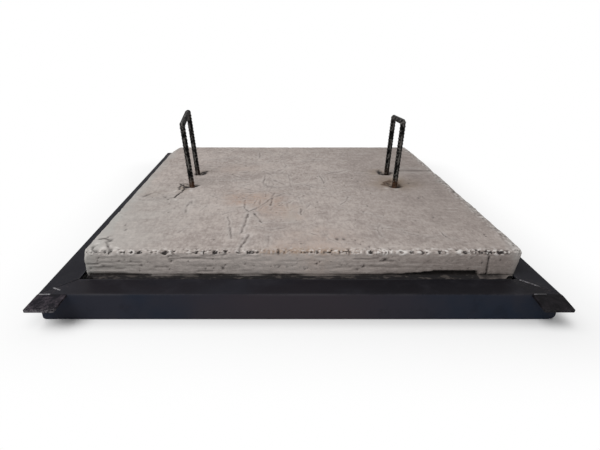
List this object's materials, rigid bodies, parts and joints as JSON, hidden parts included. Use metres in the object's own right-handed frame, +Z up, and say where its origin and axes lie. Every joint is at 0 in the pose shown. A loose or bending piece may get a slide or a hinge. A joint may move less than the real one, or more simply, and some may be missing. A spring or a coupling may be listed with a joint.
{
  "type": "sewer access cover",
  "caption": "Square reinforced concrete slab with rebar lifting loops, lying in a mitred frame of steel angle with flat anchor tabs at its corners.",
  "frame": {"origin": "on the ground, under the middle of the steel frame", "axes": "+X to the right, +Y from the front member to the back member, +Z up"},
  "size_m": [0.6768, 0.7702, 0.2082],
  "materials": {
    "concrete": "trowelled, rough cast concrete",
    "rebar": "ribbed bar, dark with rust at its foot",
    "black_steel": "black mill scale, semi-gloss",
    "tab_steel": "mill scale with rust bloom",
    "weld_metal": "rough weld bead",
    "buried_rebar": "ribbed bar with thin rust"
  },
  "bodies": {
    "root": {"concrete_slab": "concrete", "lifting_loop_left": "rebar", "lifting_loop_right": "rebar", "frame_front": "black_steel", "frame_right": "black_steel", "frame_back": "black_steel", "frame_left": "black_steel", "anchor_tab_front_left": "tab_steel", "anchor_tab_front_right": "tab_steel", "anchor_tab_back_left": "tab_steel", "anchor_tab_back_right": "tab_steel", "corner_weld_front_left": "weld_metal", "corner_weld_front_right": "weld_metal", "corner_weld_back_left": "weld_metal", "corner_weld_back_right": "weld_metal", "tab_weld_front_left": "weld_metal", "tab_weld_front_right": "weld_metal", "tab_weld_back_left": "weld_metal", "tab_weld_back_right": "weld_metal", "reinforcing_bar_lengthwise_1": "buried_rebar", "reinforcing_bar_lengthwise_2": "buried_rebar", "reinforcing_bar_lengthwise_3": "buried_rebar", "reinforcing_bar_lengthwise_4": "buried_rebar", "reinforcing_bar_lengthwise_5": "buried_rebar", "reinforcing_bar_crosswise_1": "buried_rebar", "reinforcing_bar_crosswise_2": "buried_rebar", "reinforcing_bar_crosswise_3": "buried_rebar", "reinforcing_bar_crosswise_4": "buried_rebar", "reinforcing_bar_crosswise_5": "buried_rebar"}
  },
  "joints": []
}
